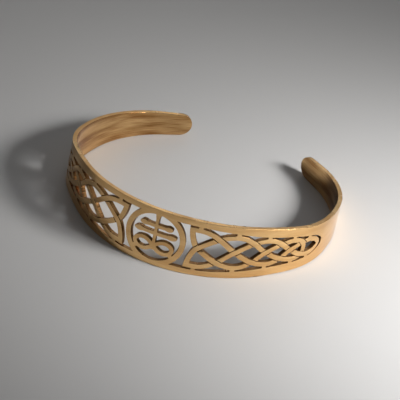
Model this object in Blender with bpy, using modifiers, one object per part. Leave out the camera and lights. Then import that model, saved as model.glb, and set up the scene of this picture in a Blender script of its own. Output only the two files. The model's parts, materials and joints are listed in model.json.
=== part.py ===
"""A cuff bracelet: one tapered strip of gold-plated brass sheet, pierced and rolled to an oval.

The strip is drawn flat, along X with its width along Y and its outer face up. The piercings are
cut there, as a laser cuts them. The pierced strip is then rolled on its bend table, facet by
facet, and laid down on its lower rim.
"""

import math

import bmesh
import bpy
from mathutils import Matrix, Vector
from mathutils.geometry import interpolate_bezier, intersect_line_line_2d

# The strip before rolling, in metres
STRIP_LENGTH = 0.154
FRONT_WIDTH = 0.0140
TAIL_WIDTH = 0.0054
SHEET = 0.0010

# The medallion at the middle of the front
RING_BAND = 0.0013
STEM_WIDTH = 0.00075
STEM_FLARE = 0.0013
STEM_TAIL = 0.0010
BAR_WIDTH = 0.0009
BAR_FLARE = 0.0013
UPPER_BAR_LENGTH = 0.0077
LOWER_BAR_LENGTH = 0.0100
LOOP_STRAND = 0.0010
LOOP_LENGTH = 0.0096
LOOP_HEIGHT = 0.0037
LOOP_TIE = 0.0010

# The knot panel on each side of it
PANEL_LENGTH = 0.0328
BORDER = 0.0015
STRAND = 0.0012
SLOT = 0.00033
TIE = 0.00105
CORNER_GAP = 0.00025
TIP_SLOT = 0.0008

# The rim between front and tail: the reach of its curve's two handles as shares of the length
# between them, and its slope where the round tail starts, as a share of the mean slope
RIM_HANDLES = (0.36, 0.555)
TAIL_SLOPE = 0.78

# The lines that part the upper strand from the lower one where two cross
GROOVE_WIDTH = 0.00014
GROOVE_DEPTH = 0.0003
GROOVE_MARGIN = 0.00003

# Heights in the medallion, as shares of the ring's inner radius
UPPER_BAR_PLACE = 0.50
LOWER_BAR_PLACE = 0.165
LOOP_PLACE = -0.39
LOOP_TIE_ANGLE = -41.0

# Columns of the knot: the places of its ties and of its middle crossings, as shares of the
# panel's length, and the reach of its strands, as a share of the reach in the first column
COLUMNS = (
    {"tie": 0.071, "crossing": 0.071, "reach": 1.00},
    {"tie": 0.331, "crossing": 0.324, "reach": 0.85},
    {"tie": 0.554, "crossing": 0.543, "reach": 0.66},
    {"tie": 0.751, "crossing": 0.730, "reach": 0.53},
    {"tie": 0.882, "crossing": 0.882, "reach": 0.40},
)
INNER_LOOP_END = 0.857
CROSSING_STEEPNESS = 1.42
PEAK_HANDLE = 0.40
CROSSING_HANDLE = 0.33

# The roll of each half of the strip, from the front to the tail: arcs as shares of the half's
# length, and the degrees that the right and the left half turn in each
BENDS = (
    {"share": 0.30, "right": 41.0, "left": 45.5},
    {"share": 0.12, "right": 11.0, "left": 9.0},
    {"share": 0.13, "right": 29.5, "left": 35.5},
    {"share": 0.12, "right": 15.0, "left": 17.5},
    {"share": 0.24, "right": 46.5, "left": 40.5},
    {"share": 0.09, "right": 0.0, "left": 0.0},
)
FACET_TURN = 8.0
LONGEST_FACET = 0.005

CURVE_STEPS = 5
RING_SIDES = 72
CAP_WELD = 1e-8
CUT_WELD = 2e-6
FLAT_ANGLE = math.radians(0.1)
CUTTER_HEIGHT = 4 * SHEET
INNER_HEIGHT = 2 * CUTTER_HEIGHT

HALF_LENGTH = STRIP_LENGTH / 2
RING_RADIUS = FRONT_WIDTH / 2
OPENING_RADIUS = RING_RADIUS - RING_BAND
PANEL_START = RING_RADIUS + CORNER_GAP
FIRST_REACH = RING_RADIUS - BORDER - SLOT - STRAND / 2


def clear_scene():
    for obj in list(bpy.data.objects):
        bpy.data.objects.remove(obj, do_unlink=True)


def new_collection(name):
    collection = bpy.data.collections.new(name)
    bpy.context.scene.collection.children.link(collection)
    return collection


def linked(name, data, collection):
    obj = bpy.data.objects.new(name, data)
    collection.objects.link(obj)
    return obj


def baked(source, collection, weld=0.0):
    """A mesh object with the evaluated shape of another object, which it takes the place of.
    Points that lie within the weld distance of each other become one."""
    bpy.context.view_layer.update()
    graph = bpy.context.evaluated_depsgraph_get()
    mesh = bpy.data.meshes.new_from_object(source.evaluated_get(graph), depsgraph=graph)
    shape = bmesh.new()
    shape.from_mesh(mesh)
    if weld:
        bmesh.ops.remove_doubles(shape, verts=shape.verts, dist=weld)
    bmesh.ops.recalc_face_normals(shape, faces=shape.faces)
    shape.to_mesh(mesh)
    shape.free()
    name = source.name
    place = source.matrix_world.copy()
    bpy.data.objects.remove(source, do_unlink=True)
    obj = linked(name, mesh, collection)
    obj.matrix_world = place
    return obj


def flat_curve(name, points, cyclic, height, collection):
    """A 2D curve in the sheet's plane. A point is a place, or a knot with its two handles."""
    data = bpy.data.curves.new(name, "CURVE")
    data.dimensions = "2D"
    data.fill_mode = "NONE"
    data.extrude = height / 2
    data.resolution_u = CURVE_STEPS
    if len(points[0]) == 3:
        spline = data.splines.new("BEZIER")
        spline.bezier_points.add(len(points) - 1)
        for bezier, (place, before, after) in zip(spline.bezier_points, points):
            bezier.handle_left_type = bezier.handle_right_type = "FREE"
            bezier.co = (*place, 0)
            bezier.handle_left = (*before, 0)
            bezier.handle_right = (*after, 0)
    else:
        spline = data.splines.new("POLY")
        spline.points.add(len(points) - 1)
        for point, place in zip(spline.points, points):
            point.co = (*place, 0, 1)
    spline.use_cyclic_u = cyclic
    return linked(name, data, collection)


def flat_solid(name, points, height, collection):
    """A solid with upright walls on a flat outline."""
    outline = flat_curve(name, points, True, height, collection)
    outline.data.fill_mode = "BOTH"
    return baked(outline, collection, CAP_WELD)


def ribbon(name, points, width, height, collection):
    """A closed strand of even width along its centre line."""
    wall = baked(flat_curve(name, points, True, height, collection), collection)
    thickness = wall.modifiers.new("strand_width", "SOLIDIFY")
    thickness.thickness = width
    thickness.offset = 0
    thickness.use_even_offset = True
    return baked(wall, collection)


def merge_flat_faces(shape):
    """Joins faces that lie in one plane and drops the points along straight edges. Seams stay."""
    every = {"verts": shape.verts, "edges": shape.edges}
    bmesh.ops.dissolve_limit(shape, angle_limit=FLAT_ANGLE, delimit={"SEAM"}, **every)


def raised_pattern(source, height, collection):
    """A clean prism on the flat pattern that the Booleans leave on an object's upper face."""
    solid = baked(source, collection)
    shape = bmesh.new()
    shape.from_mesh(solid.data)
    top = max(vert.co.z for vert in shape.verts)
    below = [face for face in shape.faces if min(vert.co.z for vert in face.verts) < top - CUT_WELD]
    bmesh.ops.delete(shape, geom=below, context="FACES")
    for vert in shape.verts:
        vert.co.z = 0
    bmesh.ops.remove_doubles(shape, verts=shape.verts, dist=CUT_WELD)
    bmesh.ops.dissolve_degenerate(shape, edges=shape.edges, dist=CUT_WELD)
    merge_flat_faces(shape)
    shape.to_mesh(solid.data)
    shape.free()
    thickness = solid.modifiers.new("height", "SOLIDIFY")
    thickness.thickness = height
    thickness.offset = 0
    return baked(solid, collection)


def primitive(name, make, collection, **settings):
    mesh = bpy.data.meshes.new(name)
    shape = bmesh.new()
    make(shape, **settings)
    shape.to_mesh(mesh)
    shape.free()
    return linked(name, mesh, collection)


def disc(name, radius, height, collection):
    sides = {"segments": RING_SIDES, "radius1": radius, "radius2": radius}
    return primitive(name, bmesh.ops.create_cone, collection, cap_ends=True, depth=height, **sides)


def block(name, centre, size, angle, collection):
    """A bar of the given size, turned in the sheet's plane."""
    place = Matrix.Translation(centre) @ Matrix.Rotation(angle, 4, "Z")
    scaled = place @ Matrix.Diagonal((*size, 1))
    return primitive(name, bmesh.ops.create_cube, collection, size=1, matrix=scaled)


def cut(target, cutters, crosses_itself=False):
    """Adds a Boolean for each cutter, which stays as a wire."""
    for cutter in cutters:
        cutter.hide_render = True
        cutter.display_type = "WIRE"
        boolean = target.modifiers.new(cutter.name, "BOOLEAN")
        boolean.object = cutter
        boolean.operation = "DIFFERENCE"
        boolean.solver = "EXACT"
        boolean.use_self = crosses_itself


def mirror_left(panel):
    """Adds the left panel's copy, which is the right one seen in a mirror."""
    both = panel.modifiers.new("left_panel", "MIRROR")
    both.use_axis = (True, False, False)
    both.use_mirror_merge = False


def mirrored(knots, x_sign, y_sign):
    """The same knots seen in a mirror, walked the same way."""
    return [tuple((x * x_sign, y * y_sign) for x, y in knot) for knot in knots]


def backwards(knots):
    """The same knots walked the other way."""
    return [(place, after, before) for place, before, after in reversed(knots)]


def sloped(x, y, rise, back, ahead):
    """A knot with handles along a slope. Their lengths are measured along X."""
    return ((x, y), (x - back, y - back * rise), (x + ahead, y + ahead * rise))


def upright(x, y, down, up):
    """A knot that is passed going up, or down if the lengths are negative."""
    return ((x, y), (x, y - down), (x, y + up))


def along(share):
    return PANEL_START + share * PANEL_LENGTH


def column_x(index, middle):
    return along(COLUMNS[index]["crossing" if middle else "tie"])


def column_pitch(index):
    """The mean distance from a column to its neighbours."""
    first = max(index - 1, 0)
    last = min(index + 1, len(COLUMNS) - 1)
    return (column_x(last, False) - column_x(first, False)) / (last - first)


def wave(columns, phase):
    """A strand that swings between the borders, one quarter of a wave in each column."""
    knots = []
    for index in range(columns):
        quarter = math.pi / 2 * (index + phase)
        swing = round(math.cos(quarter))
        reach = FIRST_REACH * COLUMNS[index]["reach"]
        pitch = column_pitch(index)
        handle = (PEAK_HANDLE if swing else CROSSING_HANDLE) * pitch
        rise = -round(math.sin(quarter)) * CROSSING_STEEPNESS * reach / pitch
        knots.append(sloped(column_x(index, not swing), swing * reach, rise, handle, handle))
    return knots


def endless_strand():
    """The closed centre line of a panel's one strand. It runs from the upper corner out to the
    outer loop, back to the lower corner, out to the inner loop and home."""
    outer = wave(len(COLUMNS), 0)
    inner = wave(len(COLUMNS) - 1, 1)
    corner_x = PANEL_START + STRAND / 2
    run = along(COLUMNS[0]["tie"]) - corner_x
    corner = (
        (corner_x, FIRST_REACH),
        (corner_x + 0.06 * run, FIRST_REACH * 0.65),
        (corner_x + 0.35 * run, FIRST_REACH),
    )
    place, _, ahead = outer[0]
    outer[0] = (place, (place[0] - 0.35 * run, place[1]), ahead)
    place, back, ahead = inner[0]
    shortened = Vector(place).lerp(Vector(back), 0.5 * run / (place[0] - back[0]))
    inner[0] = (place, tuple(shortened), ahead)
    tip_x = along(1) - STRAND / 2
    nose = FIRST_REACH * COLUMNS[-1]["reach"]
    outer_tip = ((tip_x, 0), (tip_x, nose * 0.35), (tip_x, -nose * 0.35))
    bend_x = along(INNER_LOOP_END) - STRAND / 2
    inner_tip = upright(bend_x, 0, nose * 0.75, nose * 0.75)
    return [
        corner,
        *outer,
        outer_tip,
        *backwards(mirrored(outer, 1, -1)),
        *backwards(mirrored([corner], 1, -1)),
        *mirrored(inner, 1, -1),
        inner_tip,
        *backwards(inner),
    ]


def border_outline():
    """The opening that holds the knot: its edge keeps a slot's width from the strand's reach."""
    edge = [(0, RING_RADIUS - BORDER)]
    for index, column in enumerate(COLUMNS):
        reach = FIRST_REACH * column["reach"] + STRAND / 2 + SLOT
        edge.append((column_x(index, False), reach))
    tip = (along(1) + TIP_SLOT, 0)
    knots = []
    for index, (x, y) in enumerate(edge):
        x_before, y_before = edge[max(index - 1, 0)]
        x_after, y_after = edge[min(index + 1, len(edge) - 1)]
        rise = (y_after - y_before) / (x_after - x_before)
        ahead = (x_after if x_after > x else tip[0]) - x
        knots.append(sloped(x, y, rise, (x - x_before) / 3, ahead / 3))
    last = knots[-1][0][1]
    end = (tip, (tip[0], last * 0.55), (tip[0], -last * 0.55))
    return [*knots, end, *backwards(mirrored(knots, 1, -1))]


def panel_gaps(cutters):
    """The gaps of the right panel: the opening without the ring, the strand and its ties."""
    gaps = flat_solid("panel_gaps", border_outline(), CUTTER_HEIGHT, cutters)
    strand = ribbon("endless_strand", endless_strand(), STRAND, INNER_HEIGHT, cutters)
    ring = disc("ring_outside", RING_RADIUS, INNER_HEIGHT, cutters)
    ties = []
    for index, column in enumerate(COLUMNS):
        reach = FIRST_REACH * column["reach"]
        length = STRAND + 2 * SLOT + BORDER / 2
        for side in (1, -1):
            centre = (column_x(index, False), side * (reach + length / 2), 0)
            ties.append(block("tie", centre, (TIE, length, INNER_HEIGHT), 0, cutters))
    cut(gaps, [ring, *ties])
    cut(gaps, [strand], crosses_itself=True)
    gaps = raised_pattern(gaps, CUTTER_HEIGHT, cutters)
    mirror_left(gaps)
    return gaps


def bar_outline(length, place):
    """A crossbar that swells before each end and closes to a blunt point."""
    half = length / 2
    mid = BAR_WIDTH / 2
    flare = BAR_FLARE / 2
    quarter = [
        sloped(0.50 * half, mid, 0, 0.15 * half, 0.10 * half),
        sloped(0.74 * half, flare, 0, 0.10 * half, 0.14 * half),
    ]
    tip = ((half, 0), (half, 0.5 * flare), (half, -0.5 * flare))
    right = [*quarter, tip, *backwards(mirrored(quarter, 1, -1))]
    whole = [*right, *mirrored(right, -1, -1)]
    return [tuple((x, y + place) for x, y in knot) for knot in whole]


def stem_outline():
    """The upright of the cross, from the ring down through the crossing of the loops."""
    top = OPENING_RADIUS + RING_BAND / 2
    flare_start = OPENING_RADIUS - STEM_FLARE
    bottom = OPENING_RADIUS * LOOP_PLACE - STEM_TAIL
    half = STEM_WIDTH / 2
    wide = STEM_FLARE / 2
    right = [(half, bottom), (half, flare_start), (wide, OPENING_RADIUS), (wide, top)]
    return [*right, *((-x, y) for x, y in reversed(right))]


def loops_line():
    """The centre line of the two lying loops, a figure of eight below the cross."""
    middle = OPENING_RADIUS * LOOP_PLACE
    half = (LOOP_LENGTH - LOOP_STRAND) / 2
    rise = (LOOP_HEIGHT - LOOP_STRAND) / 2
    crown = 0.58 * half
    right = [
        sloped(0, 0, 0.85, 0.32 * crown, 0.32 * crown),
        sloped(crown, rise, 0, 0.42 * crown, 0.5 * (half - crown)),
        upright(half, 0, -0.55 * rise, -0.55 * rise),
        *backwards([sloped(crown, -rise, 0, 0.42 * crown, 0.5 * (half - crown))]),
    ]
    whole = [*right, *mirrored(right, -1, 1)]
    return [tuple((x, y + middle) for x, y in knot) for knot in whole]


def medallion_gaps(cutters):
    """The gaps of the medallion: the ring's opening without the cross, the loops and ties."""
    gaps = disc("medallion_gaps", OPENING_RADIUS, CUTTER_HEIGHT, cutters)
    upper = OPENING_RADIUS * UPPER_BAR_PLACE
    lower = OPENING_RADIUS * LOWER_BAR_PLACE
    loops = ribbon("loops", loops_line(), LOOP_STRAND, INNER_HEIGHT, cutters)
    pieces = [
        flat_solid("stem", stem_outline(), INNER_HEIGHT, cutters),
        flat_solid("upper_bar", bar_outline(UPPER_BAR_LENGTH, upper), INNER_HEIGHT, cutters),
        flat_solid("lower_bar", bar_outline(LOWER_BAR_LENGTH, lower), INNER_HEIGHT, cutters),
    ]
    for side in (1, -1):
        angle = math.radians(LOOP_TIE_ANGLE) * side
        size = (1.4 * RING_BAND, LOOP_TIE, INNER_HEIGHT)
        x = side * OPENING_RADIUS * math.cos(angle)
        centre = (x, -OPENING_RADIUS * abs(math.sin(angle)), 0)
        pieces.append(block("loop_tie", centre, size, angle, cutters))
    cut(gaps, pieces)
    cut(gaps, [loops], crosses_itself=True)
    return raised_pattern(gaps, CUTTER_HEIGHT, cutters)


def rim_outline():
    """The tapered strip with its round tails."""
    tail = TAIL_WIDTH / 2
    neck = HALF_LENGTH - tail
    start = sloped(0, RING_RADIUS, 0, RIM_HANDLES[0] * neck, RIM_HANDLES[0] * neck)
    slope = TAIL_SLOPE * (tail - RING_RADIUS) / neck
    end = sloped(neck, tail, slope, RIM_HANDLES[1] * neck, 0.55 * tail)
    tip = ((HALF_LENGTH, 0), (HALF_LENGTH, 0.55 * tail), (HALF_LENGTH, -0.55 * tail))
    right = [end, tip, *backwards(mirrored([end], 1, -1))]
    left = [tuple((-x, y) for x, y in knot) for knot in backwards(right)]
    return [start, *right, *backwards(mirrored([start], 1, -1)), *left]


def sampled(knots):
    """The centre line as short straight pieces, each a start and an end."""
    line = []
    for (start, _, leave), (end, arrive, _) in zip(knots, [*knots[1:], knots[0]]):
        ends = (Vector(start), Vector(leave), Vector(arrive), Vector(end))
        line += interpolate_bezier(*ends, 2 * CURVE_STEPS)[:-1]
    return list(zip(line, [*line[1:], line[0]]))


def crossings(pieces):
    """Where the strand crosses itself: the point, and the upper and the lower direction.

    The weave alternates: the rising strand is on top in the middle of the panel, and the
    falling one beside the borders.
    """
    found = []
    for index, (start, end) in enumerate(pieces):
        for other_start, other_end in pieces[index + 2 :]:
            point = intersect_line_line_2d(start, end, other_start, other_end)
            if not point or (point - start).length < 1e-9 or (point - other_start).length < 1e-9:
                continue
            rising, falling = (end - start).normalized(), (other_end - other_start).normalized()
            if rising.x * rising.y < 0:
                rising, falling = falling, rising
            middle = abs(point.y) < STRAND / 2
            found.append((point, rising, falling) if middle else (point, falling, rising))
    return found


def crossing_grooves(cutters):
    """The engraved lines along both sides of the upper strand where it passes a lower one."""
    mesh = bpy.data.meshes.new("grooves")
    shape = bmesh.new()
    for point, upper, lower in crossings(sampled(endless_strand())):
        sine = abs(upper.cross(lower))
        step = lower * ((STRAND + GROOVE_WIDTH) / 2 + GROOVE_MARGIN) / sine
        size = Matrix.Diagonal((STRAND / sine, GROOVE_WIDTH, 2 * GROOVE_DEPTH, 1))
        turn = Matrix.Rotation(math.atan2(upper.y, upper.x), 4, "Z")
        for side in (1, -1):
            centre = (*(point + side * step), SHEET / 2)
            place = Matrix.Translation(centre) @ turn @ size
            bmesh.ops.create_cube(shape, size=1, matrix=place)
    shape.to_mesh(mesh)
    shape.free()
    grooves = linked("grooves", mesh, cutters)
    mirror_left(grooves)
    return grooves


def facets(side):
    """The places where one half is folded, as (distance from the front, turn so far)."""
    place = turn = 0.0
    folds = [(0.0, 0.0)]
    for bend in BENDS:
        length = bend["share"] * HALF_LENGTH
        angle = math.radians(bend[side])
        pieces = max(math.ceil(bend[side] / FACET_TURN), math.ceil(length / LONGEST_FACET))
        for _ in range(pieces):
            place += length / pieces
            turn += angle / pieces
            folds.append((place, turn))
    return folds


def fold_lines():
    """The folds of the whole strip from left tail to right tail: the distance along the strip,
    and the point and the outward direction there once it is rolled."""
    rolled = []
    for sign, side in ((1, "right"), (-1, "left")):
        centre = Vector((0, 0))
        folds = facets(side)
        for index, (place, turn) in enumerate(folds):
            if index:
                before, before_turn = folds[index - 1]
                half_turn = (turn - before_turn) / 2
                chord = place - before
                if half_turn:
                    chord *= math.sin(half_turn) / half_turn
                heading = before_turn + half_turn
                centre = centre + chord * Vector((math.cos(heading), math.sin(heading)))
            outward = Vector((sign * math.sin(turn), -math.cos(turn)))
            rolled.append((sign * place, Vector((sign * centre.x, centre.y)), outward))
    return sorted(rolled[1:], key=lambda fold: fold[0])


def roll(band):
    """Folds the flat strip along its fold lines. Between two of them it stays flat."""
    shape = bmesh.new()
    shape.from_mesh(band.data)
    folds = fold_lines()
    for place, _, _ in folds[1:-1]:
        geometry = [*shape.verts, *shape.edges, *shape.faces]
        sheet_across = {"plane_co": (place, 0, 0), "plane_no": (1, 0, 0)}
        folded = bmesh.ops.bisect_plane(shape, geom=geometry, dist=1e-7, **sheet_across)
        for piece in folded["geom_cut"]:
            if isinstance(piece, bmesh.types.BMEdge):
                piece.seam = True
    merge_flat_faces(shape)
    bmesh.ops.triangulate(shape, faces=shape.faces)
    for vert in shape.verts:
        x, y, height = vert.co
        index = next((i for i, fold in enumerate(folds[1:-1], 1) if fold[0] > x), len(folds) - 1)
        start, start_centre, start_outward = folds[index - 1]
        end, end_centre, end_outward = folds[index]
        share = (x - start) / (end - start)
        outward = start_outward.lerp(end_outward, share)
        centre = start_centre.lerp(end_centre, share) + outward * height
        vert.co = (centre.x, centre.y, y)
    shape.to_mesh(band.data)
    shape.free()


def lay_down(band):
    """Rests the band on its lower rim, with its own origin in the middle of its underside."""
    hull = bmesh.new()
    hull.from_mesh(band.data)
    bmesh.ops.convex_hull(hull, input=hull.verts)
    hull.faces.ensure_lookup_table()
    middle = sum((vert.co for vert in band.data.vertices), Vector()) / len(band.data.vertices)
    under = None
    for face in hull.faces:
        if face.normal.z > -0.5:
            continue
        drop = (face.verts[0].co - middle).dot(face.normal) / face.normal.z
        foot = middle + Vector((0, 0, drop))
        if bmesh.geometry.intersect_face_point(face, foot):
            under = face.normal.copy()
    hull.free()
    band.data.transform(under.rotation_difference(Vector((0, 0, -1))).to_matrix().to_4x4())
    xs, ys, zs = zip(*(vert.co for vert in band.data.vertices))
    corner = ((min(xs) + max(xs)) / 2, (min(ys) + max(ys)) / 2, min(zs))
    band.data.transform(Matrix.Translation(-Vector(corner)))


def gold_plate():
    material = bpy.data.materials.new("gold_plated_brass")
    material.use_nodes = True
    shader = material.node_tree.nodes["Principled BSDF"]
    shader.inputs["Base Color"].default_value = (0.78, 0.50, 0.20, 1)
    shader.inputs["Metallic"].default_value = 1.0
    shader.inputs["Roughness"].default_value = 0.16
    return material


def main():
    clear_scene()
    bracelet = new_collection("cuff_bracelet")
    cutters = new_collection("cutters")
    blank = flat_solid("cuff_band", rim_outline(), SHEET, bracelet)
    cut(blank, [panel_gaps(cutters), medallion_gaps(cutters)])
    sheet = raised_pattern(blank, SHEET, bracelet)
    cut(sheet, [crossing_grooves(cutters)])
    band = baked(sheet, bracelet)
    roll(band)
    lay_down(band)
    band.data.materials.clear()
    band.data.materials.append(gold_plate())
    band.data.shade_smooth()
    band.data.set_sharp_from_angle(angle=math.radians(30))


main()
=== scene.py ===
# %% [markdown]
# # A pierced gold cuff, dressed
#
# The real object is one strip of brass sheet. A maker draws the piercing flat, cuts it, files and
# tumbles the edges, rolls the strip over a mandrel and plates it with gold. This lesson follows
# the same order, because each step is easy where it is done: a flat pattern takes holes and
# bevels well, and a rolled one doesn't.
#
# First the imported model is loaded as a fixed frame. It has one solid, the band, in facets. It
# says where the band is, how large it is and how it lies, and nothing here moves it.

# %% Load the frame
import json
import math

import bmesh
import bpy
import numpy
from mathutils import Matrix, Quaternion, Vector
from mathutils.geometry import interpolate_bezier, intersect_line_line_2d


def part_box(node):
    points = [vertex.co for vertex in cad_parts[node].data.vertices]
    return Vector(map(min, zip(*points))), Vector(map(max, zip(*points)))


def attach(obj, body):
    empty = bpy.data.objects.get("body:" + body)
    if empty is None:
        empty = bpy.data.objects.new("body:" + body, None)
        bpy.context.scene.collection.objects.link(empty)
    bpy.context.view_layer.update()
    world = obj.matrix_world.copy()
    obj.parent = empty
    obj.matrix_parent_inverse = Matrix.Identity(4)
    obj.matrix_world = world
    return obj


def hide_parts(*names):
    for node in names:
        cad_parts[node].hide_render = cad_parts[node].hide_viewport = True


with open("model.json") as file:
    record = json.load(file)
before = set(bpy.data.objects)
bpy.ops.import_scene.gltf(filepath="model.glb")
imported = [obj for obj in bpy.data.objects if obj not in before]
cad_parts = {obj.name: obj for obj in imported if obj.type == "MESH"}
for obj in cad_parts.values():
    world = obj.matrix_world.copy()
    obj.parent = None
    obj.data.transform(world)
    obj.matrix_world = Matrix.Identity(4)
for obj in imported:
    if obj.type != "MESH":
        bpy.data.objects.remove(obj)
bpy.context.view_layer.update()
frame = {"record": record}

MM = 0.001
NODE = "cuff_band"

# %% [markdown]
# ## The camera
#
# The camera comes first, so that every later step can be judged in the picture it is made for.
# It could be placed by hand and nudged until it fits. Here its place is written as a
# photographer would say it: how far away, how far round, how high, how much it is rolled, and
# what it looks at. The long lens keeps the front and the back of the cuff nearly the same size.

# %% Place the camera
FOCAL_LENGTH = 203.3
SENSOR_WIDTH = 36.0
CAMERA_DISTANCE = 507.1 * MM
CAMERA_AZIMUTH = 15.37
CAMERA_ELEVATION = 34.85
CAMERA_ROLL = math.radians(10.64)
CAMERA_AIM = Vector((2.37, -7.61, 7.0)) * MM


def away(azimuth, elevation):
    """The direction that lies so many degrees round from the front and so many degrees up."""
    turn, rise = math.radians(azimuth), math.radians(elevation)
    level = math.cos(rise)
    return Vector((math.sin(turn) * level, -math.cos(turn) * level, math.sin(rise)))


def facing(direction):
    """The turn of a camera or a light that stands in that direction and looks back."""
    return (-direction).to_track_quat("-Z", "Y")


def place_camera():
    data = bpy.data.cameras.new("camera")
    data.lens = FOCAL_LENGTH
    data.sensor_width = SENSOR_WIDTH
    data.clip_start = CAMERA_DISTANCE / 20
    data.clip_end = CAMERA_DISTANCE * 20
    camera = bpy.data.objects.new("camera", data)
    bpy.context.scene.collection.objects.link(camera)
    direction = away(CAMERA_AZIMUTH, CAMERA_ELEVATION)
    camera.rotation_mode = "QUATERNION"
    camera.rotation_quaternion = facing(direction) @ Quaternion((0, 0, 1), CAMERA_ROLL)
    camera.location = CAMERA_AIM + direction * CAMERA_DISTANCE
    bpy.context.scene.camera = camera
    return camera


camera = place_camera()
print("camera at, in mm:", [round(place / MM, 1) for place in camera.location])

# %% [markdown]
# ## Drawing flat outlines
#
# Every edge of the cuff is a smooth line in the sheet, so a Bezier curve suits it: few points,
# each with a direction. A curve could be bent to the oval by a Curve modifier, but that would
# leave the piercing to be cut through a bent sheet. So each outline stays flat, and becomes an
# upright solid that a Boolean can cut with.
#
# A point of an outline is a knot: its place, and the ends of the two handles that say how the
# line arrives and leaves. A quarter turn comes out round when its handles are 0.55 of its radius.

# %% Helpers for flat outlines
CURVE_STEPS = 14
ROUND = 0.55
RING_SIDES = 200
WELD = 0.002 * MM
FLAT_ANGLE = math.radians(0.05)

workshop = bpy.data.collections.new("workshop")
bpy.context.scene.collection.children.link(workshop)


def linked(name, data):
    obj = bpy.data.objects.new(name, data)
    workshop.objects.link(obj)
    return obj


def baked(source, weld=0.0):
    """A mesh object with another object's evaluated shape, which takes its place. What cut it is
    thrown away too."""
    bpy.context.view_layer.update()
    graph = bpy.context.evaluated_depsgraph_get()
    mesh = bpy.data.meshes.new_from_object(source.evaluated_get(graph), depsgraph=graph)
    shape = bmesh.new()
    shape.from_mesh(mesh)
    if weld:
        bmesh.ops.remove_doubles(shape, verts=shape.verts, dist=weld)
    bmesh.ops.recalc_face_normals(shape, faces=shape.faces)
    shape.to_mesh(mesh)
    shape.free()
    name = source.name
    cutters = [step.object for step in source.modifiers if step.type == "BOOLEAN"]
    for used in (source, *cutters):
        bpy.data.objects.remove(used, do_unlink=True)
    return linked(name, mesh)


def flat_curve(name, knots, height):
    data = bpy.data.curves.new(name, "CURVE")
    data.dimensions = "2D"
    data.fill_mode = "NONE"
    data.extrude = height / 2
    data.resolution_u = CURVE_STEPS
    spline = data.splines.new("BEZIER")
    spline.bezier_points.add(len(knots) - 1)
    for bezier, (place, before, after) in zip(spline.bezier_points, knots):
        bezier.handle_left_type = bezier.handle_right_type = "FREE"
        bezier.co = (*place, 0)
        bezier.handle_left = (*before, 0)
        bezier.handle_right = (*after, 0)
    spline.use_cyclic_u = True
    return linked(name, data)


def flat_solid(name, knots, height):
    outline = flat_curve(name, knots, height)
    outline.data.fill_mode = "BOTH"
    return baked(outline, weld=0.00001 * MM)


def ribbon(name, knots, width, height):
    """A closed strand of even width along its centre line."""
    wall = baked(flat_curve(name, knots, height))
    thickness = wall.modifiers.new("strand_width", "SOLIDIFY")
    thickness.thickness = width
    thickness.offset = 0
    thickness.use_even_offset = True
    return baked(wall)


def primitive(name, make, **settings):
    mesh = bpy.data.meshes.new(name)
    shape = bmesh.new()
    make(shape, **settings)
    shape.to_mesh(mesh)
    shape.free()
    return linked(name, mesh)


def disc(name, radius, height):
    sides = {"segments": RING_SIDES, "radius1": radius, "radius2": radius}
    return primitive(name, bmesh.ops.create_cone, cap_ends=True, depth=height, **sides)


def block(name, centre, size, angle=0.0):
    place = Matrix.Translation(centre) @ Matrix.Rotation(angle, 4, "Z")
    scaled = place @ Matrix.Diagonal((*size, 1))
    return primitive(name, bmesh.ops.create_cube, size=1, matrix=scaled)


def cut(target, cutters, crosses_itself=False):
    for cutter in cutters:
        boolean = target.modifiers.new(cutter.name, "BOOLEAN")
        boolean.object = cutter
        boolean.operation = "DIFFERENCE"
        boolean.solver = "EXACT"
        boolean.use_self = crosses_itself


def merge_flat_faces(shape):
    every = {"verts": shape.verts, "edges": shape.edges}
    bmesh.ops.dissolve_limit(shape, angle_limit=FLAT_ANGLE, **every)


def raised_pattern(source, height, weld=WELD):
    """A clean prism on the flat pattern that the Booleans leave on an object's upper face."""
    solid = baked(source)
    shape = bmesh.new()
    shape.from_mesh(solid.data)
    top = max(vert.co.z for vert in shape.verts)
    below = [face for face in shape.faces if min(vert.co.z for vert in face.verts) < top - WELD]
    bmesh.ops.delete(shape, geom=below, context="FACES")
    for vert in shape.verts:
        vert.co.z = 0
    bmesh.ops.remove_doubles(shape, verts=shape.verts, dist=weld)
    bmesh.ops.dissolve_degenerate(shape, edges=shape.edges, dist=weld)
    loose = [edge for edge in shape.edges if not edge.link_faces]
    bmesh.ops.delete(shape, geom=loose, context="EDGES")
    merge_flat_faces(shape)
    shape.to_mesh(solid.data)
    shape.free()
    thickness = solid.modifiers.new("height", "SOLIDIFY")
    thickness.thickness = height
    thickness.offset = 0
    return baked(solid)


def mirrored(knots, x_sign, y_sign):
    return [tuple((x * x_sign, y * y_sign) for x, y in knot) for knot in knots]


def backwards(knots):
    return [(place, after, before) for place, before, after in reversed(knots)]


def sloped(x, y, rise, back, ahead):
    """A knot with handles along a slope. Their lengths are measured along X."""
    return ((x, y), (x - back, y - back * rise), (x + ahead, y + ahead * rise))


def upright(x, y, down, up):
    """A knot that is passed going up, or down if the lengths are negative."""
    return ((x, y), (x, y - down), (x, y + up))


print("outline helpers ready, with", CURVE_STEPS, "steps between two knots")

# %% [markdown]
# ## The blank
#
# A cuff starts as a blank: a tapered strip with round ends. Its two long edges run nearly level
# past the medallion and then narrow towards the tails, which a single Bezier segment draws. The
# lengths here are the band's own, along the sheet. It could also be measured off the packed
# solid, but a driving dimension that is written down can be read and changed.

# %% Cut the blank
STRIP_LENGTH = 154 * MM
FRONT_WIDTH = 14.0 * MM
TAIL_WIDTH = 5.4 * MM
SHEET = 1.0 * MM
RIM_HANDLES = (0.36, 0.555)
TAIL_SLOPE = 0.78

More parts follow.
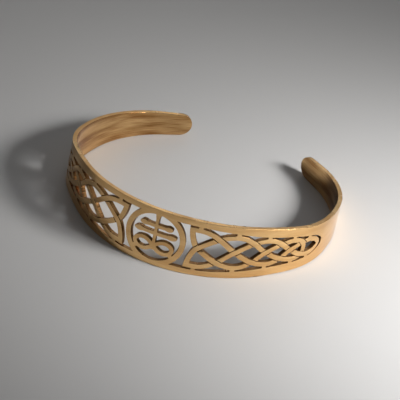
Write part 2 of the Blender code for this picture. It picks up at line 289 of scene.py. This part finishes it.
HALF_LENGTH = STRIP_LENGTH / 2
RING_RADIUS = FRONT_WIDTH / 2
CUTTER_HEIGHT = 4 * SHEET
INNER_HEIGHT = 2 * CUTTER_HEIGHT


def rim_outline():
    tail = TAIL_WIDTH / 2
    neck = HALF_LENGTH - tail
    start = sloped(0, RING_RADIUS, 0, RIM_HANDLES[0] * neck, RIM_HANDLES[0] * neck)
    slope = TAIL_SLOPE * (tail - RING_RADIUS) / neck
    end = sloped(neck, tail, slope, RIM_HANDLES[1] * neck, ROUND * tail)
    tip = ((HALF_LENGTH, 0), (HALF_LENGTH, ROUND * tail), (HALF_LENGTH, -ROUND * tail))
    right = [end, tip, *backwards(mirrored([end], 1, -1))]
    left = [tuple((-x, y) for x, y in knot) for knot in backwards(right)]
    return [start, *right, *backwards(mirrored([start], 1, -1)), *left]


blank = flat_solid("gold_cuff", rim_outline(), SHEET)
print("blank outline:", len(blank.data.vertices) // 2, "points")

# %% [markdown]
# ## The knot panels
#
# Each side panel is one endless strand. It leaves the corner by the medallion, swings between
# the borders four times, turns at the outer loop, swings back as its own mirror image, and goes
# out and home once more half a swing later, round the inner loop. Where the two trips meet they
# cross. Drawing one closed centre line and giving it width keeps every crossing at the right
# angle. Drawing each window instead would need twenty outlines that have to agree.
#
# The panel narrows towards the tail, so a table gives each column of the knot its place and its
# reach, as shares of the panel.

# %% Draw the endless strand
RING_BAND = 1.3 * MM
PANEL_LENGTH = 32.8 * MM
BORDER = 1.5 * MM
STRAND = 1.2 * MM
SLOT = 0.33 * MM
TIE = 1.05 * MM
CORNER_GAP = 0.25 * MM
TIP_SLOT = 0.8 * MM
COLUMNS = (
    {"tie": 0.071, "crossing": 0.071, "reach": 1.00},
    {"tie": 0.331, "crossing": 0.324, "reach": 0.85},
    {"tie": 0.554, "crossing": 0.543, "reach": 0.66},
    {"tie": 0.751, "crossing": 0.730, "reach": 0.53},
    {"tie": 0.882, "crossing": 0.882, "reach": 0.40},
)
INNER_LOOP_END = 0.857
CROSSING_STEEPNESS = 1.42
PEAK_HANDLE = 0.40
CROSSING_HANDLE = 0.33
CORNER_HANDLE = 0.35
CORNER_LEAN = (0.06, 0.65)
OUTER_TIP_HANDLE = 0.35
INNER_TIP_HANDLE = 0.75

OPENING_RADIUS = RING_RADIUS - RING_BAND
PANEL_START = RING_RADIUS + CORNER_GAP
FIRST_REACH = RING_RADIUS - BORDER - SLOT - STRAND / 2


def along(share):
    return PANEL_START + share * PANEL_LENGTH


def column_x(index, middle):
    return along(COLUMNS[index]["crossing" if middle else "tie"])


def column_pitch(index):
    first = max(index - 1, 0)
    last = min(index + 1, len(COLUMNS) - 1)
    return (column_x(last, False) - column_x(first, False)) / (last - first)


def wave(columns, phase):
    """A strand that swings between the borders, one quarter of a wave in each column."""
    knots = []
    for index in range(columns):
        quarter = math.pi / 2 * (index + phase)
        swing = round(math.cos(quarter))
        reach = FIRST_REACH * COLUMNS[index]["reach"]
        pitch = column_pitch(index)
        handle = (PEAK_HANDLE if swing else CROSSING_HANDLE) * pitch
        rise = -round(math.sin(quarter)) * CROSSING_STEEPNESS * reach / pitch
        knots.append(sloped(column_x(index, not swing), swing * reach, rise, handle, handle))
    return knots


def endless_strand():
    outer = wave(len(COLUMNS), 0)
    inner = wave(len(COLUMNS) - 1, 1)
    corner_x = PANEL_START + STRAND / 2
    run = along(COLUMNS[0]["tie"]) - corner_x
    corner = (
        (corner_x, FIRST_REACH),
        (corner_x + CORNER_LEAN[0] * run, FIRST_REACH * CORNER_LEAN[1]),
        (corner_x + CORNER_HANDLE * run, FIRST_REACH),
    )
    place, _, ahead = outer[0]
    outer[0] = (place, (place[0] - CORNER_HANDLE * run, place[1]), ahead)
    place, back, ahead = inner[0]
    shortened = Vector(place).lerp(Vector(back), 0.5 * run / (place[0] - back[0]))
    inner[0] = (place, tuple(shortened), ahead)
    tip_x = along(1) - STRAND / 2
    nose = FIRST_REACH * COLUMNS[-1]["reach"]
    outer_handle = nose * OUTER_TIP_HANDLE
    inner_handle = nose * INNER_TIP_HANDLE
    outer_tip = ((tip_x, 0), (tip_x, outer_handle), (tip_x, -outer_handle))
    inner_tip = upright(along(INNER_LOOP_END) - STRAND / 2, 0, inner_handle, inner_handle)
    return [
        corner,
        *outer,
        outer_tip,
        *backwards(mirrored(outer, 1, -1)),
        *backwards(mirrored([corner], 1, -1)),
        *mirrored(inner, 1, -1),
        inner_tip,
        *backwards(inner),
    ]


print("the endless strand has", len(endless_strand()), "knots")

# %% [markdown]
# The strand lies in an opening whose edge keeps an even slot from the strand's swings, and short
# ties hold it to the border at each swing. What falls out of the sheet is the opening without
# the strand, the ties and the medallion's ring. The left panel is the right one in a mirror.

# %% Cut the panel gaps
def border_outline():
    edge = [(0, RING_RADIUS - BORDER)]
    for index, column in enumerate(COLUMNS):
        reach = FIRST_REACH * column["reach"] + STRAND / 2 + SLOT
        edge.append((column_x(index, False), reach))
    tip = (along(1) + TIP_SLOT, 0)
    knots = []
    for index, (x, y) in enumerate(edge):
        x_before, y_before = edge[max(index - 1, 0)]
        x_after, y_after = edge[min(index + 1, len(edge) - 1)]
        rise = (y_after - y_before) / (x_after - x_before)
        ahead = (x_after if x_after > x else tip[0]) - x
        knots.append(sloped(x, y, rise, (x - x_before) / 3, ahead / 3))
    last = knots[-1][0][1]
    end = (tip, (tip[0], last * ROUND), (tip[0], -last * ROUND))
    return [*knots, end, *backwards(mirrored(knots, 1, -1))]


def panel_gaps():
    gaps = flat_solid("panel_gaps", border_outline(), CUTTER_HEIGHT)
    keep = [disc("ring_outside", RING_RADIUS, INNER_HEIGHT)]
    for index, column in enumerate(COLUMNS):
        reach = FIRST_REACH * column["reach"]
        length = STRAND + 2 * SLOT + BORDER / 2
        for side in (1, -1):
            centre = (column_x(index, False), side * (reach + length / 2), 0)
            keep.append(block("tie", centre, (TIE, length, INNER_HEIGHT)))
    cut(gaps, keep)
    strand = ribbon("endless_strand", endless_strand(), STRAND, INNER_HEIGHT)
    cut(gaps, [strand], crosses_itself=True)
    gaps = raised_pattern(gaps, CUTTER_HEIGHT)
    both = gaps.modifiers.new("left_panel", "MIRROR")
    both.use_mirror_merge = False
    return gaps


knot_gaps = panel_gaps()
print("outlines of one panel's gaps:", len(knot_gaps.data.vertices) // 2, "points")

# %% [markdown]
# ## The medallion
#
# The ring holds a cross with two bars on a thin upright, which runs down through two lying
# loops. The bars swell before their ends and close to a blunt point, and the upright flares
# where it meets the ring. The loops are one more closed strand, drawn as a figure of eight.

# %% Cut the medallion gaps
STEM_WIDTH = 0.75 * MM
STEM_FLARE = 1.3 * MM
STEM_TAIL = 1.0 * MM
BAR_WIDTH = 0.9 * MM
BAR_FLARE = 1.3 * MM
UPPER_BAR_LENGTH = 7.7 * MM
LOWER_BAR_LENGTH = 10.0 * MM
UPPER_BAR_PLACE = 0.50
LOWER_BAR_PLACE = 0.165
BAR_NECK = 0.50
BAR_BULGE = 0.74
LOOP_STRAND = 1.0 * MM
LOOP_LENGTH = 9.6 * MM
LOOP_HEIGHT = 3.7 * MM
LOOP_PLACE = -0.39
LOOP_CROWN = 0.58
LOOP_SLOPE = 0.85
LOOP_TIE = 1.0 * MM
LOOP_TIE_ANGLE = math.radians(-41)


def bar_outline(length, place):
    half = length / 2
    mid = BAR_WIDTH / 2
    flare = BAR_FLARE / 2
    quarter = [
        sloped(BAR_NECK * half, mid, 0, 0.15 * half, 0.10 * half),
        sloped(BAR_BULGE * half, flare, 0, 0.10 * half, 0.14 * half),
    ]
    tip = ((half, 0), (half, 0.5 * flare), (half, -0.5 * flare))
    right = [*quarter, tip, *backwards(mirrored(quarter, 1, -1))]
    whole = [*right, *mirrored(right, -1, -1)]
    return [tuple((x, y + place) for x, y in knot) for knot in whole]


def stem_outline():
    top = OPENING_RADIUS + RING_BAND / 2
    flare_start = OPENING_RADIUS - STEM_FLARE
    bottom = OPENING_RADIUS * LOOP_PLACE - STEM_TAIL
    half = STEM_WIDTH / 2
    wide = STEM_FLARE / 2
    right = [(half, bottom), (half, flare_start), (wide, OPENING_RADIUS), (wide, top)]
    points = [*right, *((-x, y) for x, y in reversed(right))]
    return [(point, point, point) for point in points]


def loops_line():
    middle = OPENING_RADIUS * LOOP_PLACE
    half = (LOOP_LENGTH - LOOP_STRAND) / 2
    rise = (LOOP_HEIGHT - LOOP_STRAND) / 2
    crown = LOOP_CROWN * half
    over = sloped(crown, rise, 0, 0.42 * crown, 0.5 * (half - crown))
    right = [
        sloped(0, 0, LOOP_SLOPE, 0.32 * crown, 0.32 * crown),
        over,
        upright(half, 0, -ROUND * rise, -ROUND * rise),
        *backwards(mirrored([over], 1, -1)),
    ]
    whole = [*right, *mirrored(right, -1, 1)]
    return [tuple((x, y + middle) for x, y in knot) for knot in whole]


def medallion_gaps():
    gaps = disc("medallion_gaps", OPENING_RADIUS, CUTTER_HEIGHT)
    upper = OPENING_RADIUS * UPPER_BAR_PLACE
    lower = OPENING_RADIUS * LOWER_BAR_PLACE
    keep = [
        flat_solid("stem", stem_outline(), INNER_HEIGHT),
        flat_solid("upper_bar", bar_outline(UPPER_BAR_LENGTH, upper), INNER_HEIGHT),
        flat_solid("lower_bar", bar_outline(LOWER_BAR_LENGTH, lower), INNER_HEIGHT),
    ]
    for side in (1, -1):
        angle = LOOP_TIE_ANGLE * side
        x = side * OPENING_RADIUS * math.cos(angle)
        centre = (x, -OPENING_RADIUS * abs(math.sin(angle)), 0)
        keep.append(block("loop_tie", centre, (1.4 * RING_BAND, LOOP_TIE, INNER_HEIGHT), angle))
    cut(gaps, keep)
    cut(gaps, [ribbon("loops", loops_line(), LOOP_STRAND, INNER_HEIGHT)], crosses_itself=True)
    return raised_pattern(gaps, CUTTER_HEIGHT)


cut(blank, [knot_gaps, medallion_gaps()])
sheet = raised_pattern(blank, SHEET, weld=0.01 * MM)
print("pierced sheet:", len(sheet.data.vertices) // 2, "outline points")

# %% [markdown]
# ## Edges that a hand could touch
#
# A sawn edge is sharp. Tumbling rounds it by a little over a twentieth of a millimetre, and that
# thin round catches the light all along the rims and windows. A Bevel modifier does this on the
# flat sheet, limited to edges that turn sharply, so the windows' walls stay as they are.
#
# Where one strand passes over another, a fine line is engraved along both sides of the upper
# one. The weave alternates: the rising strand is on top in the middle of the panel, and the
# falling one beside the borders. The lines are cut with a flattened bar that stands on its edge,
# which leaves a shallow V. They come before the rounding, and their slopes are too gentle for
# the Bevel to take.

# %% Round the edges and engrave the crossings
EDGE_ROUND = 0.06 * MM
ROUND_STEPS = 3
GROOVE_WIDTH = 0.20 * MM
GROOVE_DEPTH = 0.055 * MM
GROOVE_MARGIN = 0.02 * MM


def sampled(knots):
    line = []
    for (start, _, leave), (end, arrive, _) in zip(knots, [*knots[1:], knots[0]]):
        ends = (Vector(start), Vector(leave), Vector(arrive), Vector(end))
        line += interpolate_bezier(*ends, CURVE_STEPS + 1)[:-1]
    return list(zip(line, [*line[1:], line[0]]))


def crossings(pieces):
    """Where the strand crosses itself: the point, and the upper and the lower direction."""
    found = []
    for index, (start, end) in enumerate(pieces):
        for other_start, other_end in pieces[index + 2 :]:
            point = intersect_line_line_2d(start, end, other_start, other_end)
            if not point or (point - start).length < 1e-9 or (point - other_start).length < 1e-9:
                continue
            rising, falling = (end - start).normalized(), (other_end - other_start).normalized()
            if rising.x * rising.y < 0:
                rising, falling = falling, rising
            middle = abs(point.y) < STRAND / 2
            found.append((point, rising, falling) if middle else (point, falling, rising))
    return found


def crossing_grooves():
    mesh = bpy.data.meshes.new("grooves")
    shape = bmesh.new()
    met = crossings(sampled(endless_strand()))
    for point, upper, lower in met:
        sine = abs(upper.cross(lower))
        step = lower * ((STRAND + GROOVE_WIDTH) / 2 + GROOVE_MARGIN) / sine
        side_of_square = GROOVE_WIDTH / math.sqrt(2)
        size = Matrix.Diagonal((STRAND / sine, side_of_square, side_of_square, 1))
        turn = Matrix.Rotation(math.atan2(upper.y, upper.x), 4, "Z")
        on_edge = Matrix.Rotation(math.radians(45), 4, "X")
        flatter = Matrix.Diagonal((1, 1, GROOVE_DEPTH / (GROOVE_WIDTH / 2), 1))
        for side in (1, -1):
            centre = (*(point + side * step), SHEET / 2)
            place = Matrix.Translation(centre) @ turn @ flatter @ on_edge @ size
            bmesh.ops.create_cube(shape, size=1, matrix=place)
    shape.to_mesh(mesh)
    shape.free()
    grooves = linked("grooves", mesh)
    both = grooves.modifiers.new("left_panel", "MIRROR")
    both.use_mirror_merge = False
    print("crossings in each panel:", len(met))
    return grooves


def rounded(solid):
    rounding = solid.modifiers.new("tumbled_edges", "BEVEL")
    rounding.width = EDGE_ROUND
    rounding.segments = ROUND_STEPS
    rounding.limit_method = "ANGLE"
    rounding.angle_limit = math.radians(60)
    rounding.use_clamp_overlap = False
    return baked(solid)


cut(sheet, [crossing_grooves()])
sheet = rounded(baked(sheet))
print("rounded sheet:", len(sheet.data.polygons), "faces")

# %% [markdown]
# ## Ready to bend
#
# A flat face can't follow a curve, so the sheet gets a cut across it every millimetre or so.
# Then come the normals, the directions that a renderer shades by. In the flat sheet they are
# simple: straight up on the faces, and turning over the rounded edges. A Weighted Normal modifier
# finds them while the sheet is flat, and rolling then turns each one with the metal around it.
# Shading the rolled mesh instead would show every cut as a faint line in a surface this glossy.

# %% Cut across the sheet
FOLD_STEP = 1.0 * MM
SHEET_MAP = "flat_sheet"
ZONES = (
    ("outside", 0.93),
    ("engraved", 0.80),
    ("walls", -0.30),
    ("inside", -1.01),
)
FINISHES = ("outside", "inside", "rim", "walls", "engraved")
RIM_MARGIN = 0.3 * MM


def cut_across(solid):
    shape = bmesh.new()
    shape.from_mesh(solid.data)
    count = round(STRIP_LENGTH / FOLD_STEP)
    for index in range(1, count):
        place = -HALF_LENGTH + index * STRIP_LENGTH / count
        near = [face for face in shape.faces if spans(face, place)]
        edges = {edge for face in near for edge in face.edges}
        verts = {vert for face in near for vert in face.verts}
        sheet_across = {"plane_co": (place, 0, 0), "plane_no": (1, 0, 0)}
        bmesh.ops.bisect_plane(shape, geom=[*verts, *edges, *near], dist=1e-8, **sheet_across)
    bmesh.ops.triangulate(shape, faces=shape.faces)
    shape.to_mesh(solid.data)
    shape.free()
    return count


def spans(face, place):
    xs = [vert.co.x for vert in face.verts]
    return min(xs) < place < max(xs)


def upper_edge():
    """The blank's edge from the middle to the right tip, as places and heights."""
    edge = sorted(tuple(start) for start, _ in sampled(rim_outline()) if min(start) > -1e-9)
    return list(zip(*edge))


def mark_zones(solid):
    """Keeps the flat places as a UV map, and sets each face's finish by where it looks. The
    rounded outer edges go with the walls. A wall that lies on the blank's edge is the rim."""
    mesh = solid.data
    edge_places, edge_heights = upper_edge()
    places = mesh.uv_layers.new(name=SHEET_MAP)
    for corner, place in zip(mesh.loops, places.data):
        x, y, _ = mesh.vertices[corner.vertex_index].co
        place.uv = (x, y)
    # The walls, and the rounded edges that go with them, take a darker colour, which is painted
    # shade.
    for face in mesh.polygons:
        zone = next(name for name, lowest in ZONES if face.normal.z > lowest)
        edge_height = numpy.interp(abs(face.center.x), edge_places, edge_heights)
        if zone == "walls" and abs(face.center.y) > edge_height - RIM_MARGIN:
            zone = "rim"
        face.material_index = FINISHES.index(zone)


cuts = cut_across(sheet)
mark_zones(sheet)
sheet.data.shade_smooth()
sheet.data.set_sharp_from_angle(angle=math.radians(40))
weighting = sheet.modifiers.new("face_weight", "WEIGHTED_NORMAL")
weighting.keep_sharp = True
weighting.weight = 100
print("cuts across the sheet:", cuts, "triangles:", len(sheet.data.polygons))

# %% [markdown]
# ## Rolling the strip
#
# A cuff is rolled in arcs: a broad one over the back of the wrist, tighter ones at the corners
# and nearly straight tails. The bend table holds each arc as a share of the half strip, and how
# far it turns. Right and left differ by a few degrees, because this is bent by hand. A Curve
# modifier could roll the mesh too, but walking the arcs gives the exact turn at every point,
# which the normals need.

# %% Roll it
BENDS = (
    {"share": 0.30, "right": 41.0, "left": 45.5},
    {"share": 0.12, "right": 11.0, "left": 9.0},
    {"share": 0.13, "right": 29.5, "left": 35.5},
    {"share": 0.12, "right": 15.0, "left": 17.5},
    {"share": 0.24, "right": 46.5, "left": 40.5},
    {"share": 0.09, "right": 0.0, "left": 0.0},
)


def place_on_oval(place):
    """The point and the turn of the rolled strip at a place along the flat one."""
    side = "right" if place >= 0 else "left"
    rest = abs(place)
    turn = 0.0
    point = Vector((0, 0))
    for bend in BENDS:
        arc = bend["share"] * HALF_LENGTH
        length = min(rest, arc)
        swept = math.radians(bend[side]) * length / arc
        chord = length * math.sin(swept / 2) / (swept / 2) if swept else length
        heading = turn + swept / 2
        point += chord * Vector((math.cos(heading), math.sin(heading)))
        turn += swept
        rest -= length
    if side == "left":
        return Vector((-point.x, point.y)), -turn
    return point, turn


def metal_directions(turn):
    """Where the flat sheet's own X, Y and Z point once it is turned."""
    along_strip = (math.cos(turn), math.sin(turn), 0)
    outward = (math.sin(turn), -math.cos(turn), 0)
    return Matrix((along_strip, (0, 0, 1), outward)).transposed()


def roll(band):
    """Rolls the flat mesh and returns the direction of each face corner's normal."""
    mesh = band.data
    flat_normals = [corner.vector.copy() for corner in mesh.corner_normals]
    turned = []
    for vert in mesh.vertices:
        point, turn = place_on_oval(vert.co.x)
        directions = metal_directions(turn)
        turned.append(directions)
        vert.co = Vector((*point, 0)) + directions @ Vector((0, vert.co.y, vert.co.z))
    corners = zip(mesh.loops, flat_normals)
    return [turned[loop.vertex_index] @ normal for loop, normal in corners]


def keep_normals(source):
    """The evaluated mesh as it is, with the normals that its modifiers found."""
    bpy.context.view_layer.update()
    graph = bpy.context.evaluated_depsgraph_get()
    mesh = bpy.data.meshes.new_from_object(source.evaluated_get(graph), depsgraph=graph)
    name = source.name
    bpy.data.objects.remove(source, do_unlink=True)
    return linked(name, mesh)


band = keep_normals(sheet)
normals = roll(band)
for side in ("left", "right"):
    print("turn of the", side, "tail, in degrees:", sum(bend[side] for bend in BENDS))

# %% [markdown]
# ## Laying it where the frame has it
#
# The frame says how the real band lies: its record has a mount on the inside of each tail, with
# the direction that the face looks. The same two directions are known on the rolled strip, and
# two directions fix a rotation. The frame's box then says where the band stands. So the piece
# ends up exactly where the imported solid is, and no angle is typed in.

# %% Lay it in the frame
def basis(first, second):
    """The axes that two directions fix between them."""
    across = first.cross(second).normalized()
    return Matrix((first, across.cross(first), across)).transposed()


def inside_of_tail(place):
    return -(metal_directions(place_on_oval(place)[1]) @ Vector((0, 0, 1)))


mounts = {mount["name"]: Vector(mount["axis"]).normalized() for mount in frame["record"]["mounts"]}
in_frame = basis(mounts["right_tail_inside"], mounts["left_tail_inside"])
as_rolled = basis(inside_of_tail(HALF_LENGTH), inside_of_tail(-HALF_LENGTH))
lay_down = in_frame @ as_rolled.transposed()
band.data.transform(lay_down.to_4x4())
normals = [lay_down @ normal for normal in normals]


def corners_of(points):
    columns = list(zip(*points))
    return Vector([min(column) for column in columns]), Vector([max(column) for column in columns])


low, high = corners_of([vert.co for vert in band.data.vertices])
cad_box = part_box(NODE)
shift = (cad_box[0] + cad_box[1] - low - high) / 2
shift.z = cad_box[0].z - low.z
band.data.transform(Matrix.Translation(shift))
band.data.normals_split_custom_set(normals)
tilt = math.degrees(lay_down.to_quaternion().angle)
print("tilt of the rolled strip, in degrees:", round(tilt, 2))
print("size in mm:", [round(side / MM, 2) for side in high - low])

# %% [markdown]
# ## Shader maths as Python
#
# A finish is worked out by nodes, and a graph of Math nodes is hard to read. So a small class
# wraps one socket and lets Python's own operators add the nodes: `haze * 0.7 + 0.4` becomes a
# Multiply and an Add. Colours are mixed by a Mix node, because a Math node would turn them grey.

# %% A finish and its values
class Value:
    """One number or colour that a material's nodes work out."""

    def __init__(self, finish, socket):
        self.finish = finish
        self.socket = socket

    def math(self, operation, first, second):
        inputs = {0: first, 1: second}
        return self.finish.node("Math", {"operation": operation}, inputs).out("Value")

    def __add__(self, other):
        return self.math("ADD", self, other)

    def __mul__(self, other):
        return self.math("MULTIPLY", self, other)


class Made:
    """A node that was made, whose outputs are values."""

    def __init__(self, finish, node):
        self.finish = finish
        self.node = node

    def out(self, name):
        return Value(self.finish, self.node.outputs[name])


class Finish:
    """A material, and the one way to add a node to it."""

    def __init__(self, name):
        self.material = bpy.data.materials.new(name)
        self.material.use_nodes = True
        self.tree = self.material.node_tree
        self.shader = self.tree.nodes["Principled BSDF"]

    def node(self, kind, settings=None, inputs=None):
        node = self.tree.nodes.new("ShaderNode" + kind)
        for name, setting in (settings or {}).items():
            if name == "stops":
                self.set_stops(node.color_ramp, setting)
            else:
                setattr(node, name, setting)
        self.feed(node, inputs or {})
        return Made(self, node)

    def feed(self, node, inputs):
        for name, value in inputs.items():
            if isinstance(value, Value):
                self.tree.links.new(value.socket, node.inputs[name])
            else:
                node.inputs[name].default_value = value

    def set_stops(self, ramp, stops):
        while len(ramp.elements) < len(stops):
            ramp.elements.new(1)
        for element, (place, level) in zip(ramp.elements, stops):
            element.position = place
            element.color = (level, level, level, 1)

    def mix(self, share, first, second):
        """A colour between two others."""
        sockets = {0: share, 6: first, 7: second}
        return self.node("Mix", {"data_type": "RGBA"}, sockets).out(2)

    def stretched(self, place, scale):
        return self.node("Mapping", {}, {"Vector": place, "Scale": scale}).out("Vector")

    def noise(self, place, scale, detail):
        sockets = {"Vector": place, "Scale": scale, "Detail": detail}
        return self.node("TexNoise", {}, sockets).out("Fac")


print("a finish is made of values")

# %% [markdown]
# ## The gold
#
# Gold plate over polished brass is a mirror with a memory of how it was made. Its colour is the
# metal's own. Polishing leaves it a little uneven, with a faint ripple where the roller pressed
# and fine scratches along the strip from the buffing wheel. A bare mirror would look like
# plastic, so the roughness is broken up and a bump carries the ripple and the scratches.
#
# The pattern is laid out on the flat sheet's own coordinates, kept as a UV map, because scratches
# run along the strip and follow it round the oval. The outside is polished most. The inside keeps
# the roller's ripple, and its colour mottles strongly towards a darker brown: partly a tone that
# varies at random, partly painted reflection streaks and painted shade. The rim is rubbed smooth
# but dull. The sawn walls of the windows and their rounded edges are duller still, and their
# darker colour is painted shade, which also draws dark lines along the rounded edges. The engraved
# lines are dark too, which is painted shade in the grooves. So there are five finishes. One
# function makes them all, from two colours, how far they mottle, a roughness, and the heights of
# the ripple and the scratches.
#
# Three noises lie under them: a swell and streaks that are drawn out along the strip, and even
# clouds. Drawing out means that the pattern is 7 or 36 times finer across the strip than along.

# %% Make the gold finishes
GOLD = (0.88, 0.58, 0.27, 1)
DEEP_GOLD = (0.62, 0.34, 0.12, 1)
# A darker brown that the inside mottles towards: painted reflection streaks and shade.
STREAK_REFLECTION_GOLD = (0.34, 0.16, 0.05, 1)
# The window walls' two colours, also on the rounded edges, are darker than the gold: painted
# shade.
WALL_SHADE_GOLD = (0.34, 0.18, 0.07, 1)
SHADE_GOLD = (0.16, 0.08, 0.03, 1)
# The engraved lines' dark colour: painted shade in the grooves.
GROOVE_SHADE_GOLD = (0.16, 0.09, 0.04, 1)
DRAWN = (1, 7, 1)
FINELY_DRAWN = (1, 36, 1)
SWELL_SCALE = 55.0
STREAK_SCALE = 200.0
CLOUD_SCALE = 130.0
HAZE_STOPS = ((0.42, 0), (0.60, 1))


def gold(name, light, dark, mottle_and_painted_streaks, roughness, ripple, scratches):
    """Plated gold between two colours. Its roughness is a mean, the last two are heights."""
    finish = Finish(name)
    place = finish.node("UVMap", {"uv_map": SHEET_MAP}).out("UV")
    swell = finish.noise(finish.stretched(place, DRAWN), SWELL_SCALE, 1.0)
    streaks = finish.noise(finish.stretched(place, FINELY_DRAWN), STREAK_SCALE, 3.0)
    clouds = finish.noise(place, CLOUD_SCALE, 3.0)
    drift = swell * 0.6 + streaks * 0.3 + clouds * 0.1
    haze = finish.node("ValToRGB", {"stops": HAZE_STOPS}, {"Fac": drift}).out("Color")
    height = (swell + clouds * 0.4) * ripple + streaks * scratches
    raised = {"Height": height, "Distance": 1.0, "Strength": 1.0}
    look = {
        "Metallic": 1.0,
        "Base Color": finish.mix(haze * mottle_and_painted_streaks + streaks * 0.3, light, dark),
        "Roughness": (haze * 0.7 + streaks * 0.6 + 0.4) * roughness,
        "Normal": finish.node("Bump", {}, raised).out("Normal"),
    }
    finish.feed(finish.shader, look)
    return finish.material


GOLDS = {
    "outside": (GOLD, DEEP_GOLD, 0.5, 0.07, 0.020 * MM, 0.001 * MM),
    # The inside's strong mottle paints reflection streaks and shade over a tone that varies at
    # random.
    "inside": (GOLD, STREAK_REFLECTION_GOLD, 0.9, 0.14, 0.150 * MM, 0.003 * MM),
    "rim": (GOLD, DEEP_GOLD, 0.5, 0.28, 0.010 * MM, 0.001 * MM),
    # The walls' darker colours are painted shade; their higher roughness is the sawn metal's own.
    "walls": (WALL_SHADE_GOLD, SHADE_GOLD, 0.5, 0.42, 0.004 * MM, 0.001 * MM),
    # The engraved lines' dark colour is painted shade.
    "engraved": (GROOVE_SHADE_GOLD, GROOVE_SHADE_GOLD, 0.5, 0.35, 0.002 * MM, 0.001 * MM),
}
finishes = {name: gold("gold_" + name, *row) for name, row in GOLDS.items()}
print("finishes:", list(finishes))

# %% [markdown]
# ## The floor and the light
#
# A polished metal shows its surroundings more than itself, so the studio is part of the finish.
# The cuff lies on a plain pale floor. Seen from above, its front faces mirror the floor just
# before them, so the floor's own light and shade is what the gold shows. The key is a soft light
# on the right with a narrow spread. It is aimed beside the cuff: the floor there is bright, the
# right of the band mirrors it, and the left mirrors the shade. A panel behind the cuff gives the
# flat rims something pale to mirror, a weak light overhead lifts the inside, and a little air
# light keeps the darkest faces from going black.
#
# A film-like view would fade the gold's bright places to a pale yellow, so the plain one is set.

# %% Light the studio
FLOOR_SIZE = 4000 * MM
FLOOR_COLOUR = (0.62, 0.61, 0.60, 1)
FLOOR_ROUGHNESS = 0.7
AIR = 0.05
KEY_SIZE = (100 * MM, 100 * MM)
BESIDE_CUFF = (85 * MM, 0, 0)
BACK_PANEL_SIZE = (400 * MM, 300 * MM)
OVERHEAD_SIZE = (500 * MM, 500 * MM)


def lay_floor():
    mesh = bpy.data.meshes.new("floor")
    shape = bmesh.new()
    bmesh.ops.create_grid(shape, x_segments=1, y_segments=1, size=FLOOR_SIZE / 2)
    shape.to_mesh(mesh)
    shape.free()
    floor = linked("floor", mesh)
    finish = Finish("pale_floor")
    finish.feed(finish.shader, {"Base Color": FLOOR_COLOUR, "Roughness": FLOOR_ROUGHNESS})
    mesh.materials.append(finish.material)
    floor.location.z = cad_box[0].z


def soft_light(name, size, power, direction, distance, aim=(0, 0, 0), spread=180):
    data = bpy.data.lights.new(name, "AREA")
    data.shape = "RECTANGLE"
    data.size, data.size_y = size
    data.energy = power
    data.spread = math.radians(spread)
    light = linked(name, data)
    light.location = Vector(aim) + direction * distance
    light.rotation_mode = "QUATERNION"
    light.rotation_quaternion = facing(direction)


def studio_air(strength):
    world = bpy.data.worlds.new("studio_air")
    world.use_nodes = True
    air = world.node_tree.nodes["Background"]
    air.inputs["Color"].default_value = (1, 1, 1, 1)
    air.inputs["Strength"].default_value = strength
    bpy.context.scene.world = world


lay_floor()
studio_air(AIR)
soft_light("key", KEY_SIZE, 0.13, away(90, 42), 240 * MM, aim=BESIDE_CUFF, spread=46)
soft_light("back_panel", BACK_PANEL_SIZE, 0.26, away(195, 34), 500 * MM)
soft_light("overhead", OVERHEAD_SIZE, 0.2, away(20, 80), 800 * MM)
bpy.context.scene.view_settings.view_transform = "Standard"

# %% [markdown]
# ## Handing the band to the frame
#
# The dressed band gets its five finishes, takes the imported solid's place and rides on the
# model's one body.

# %% Dress the band
for name in FINISHES:
    band.data.materials.append(finishes[name])
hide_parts(NODE)
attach(band, "root")
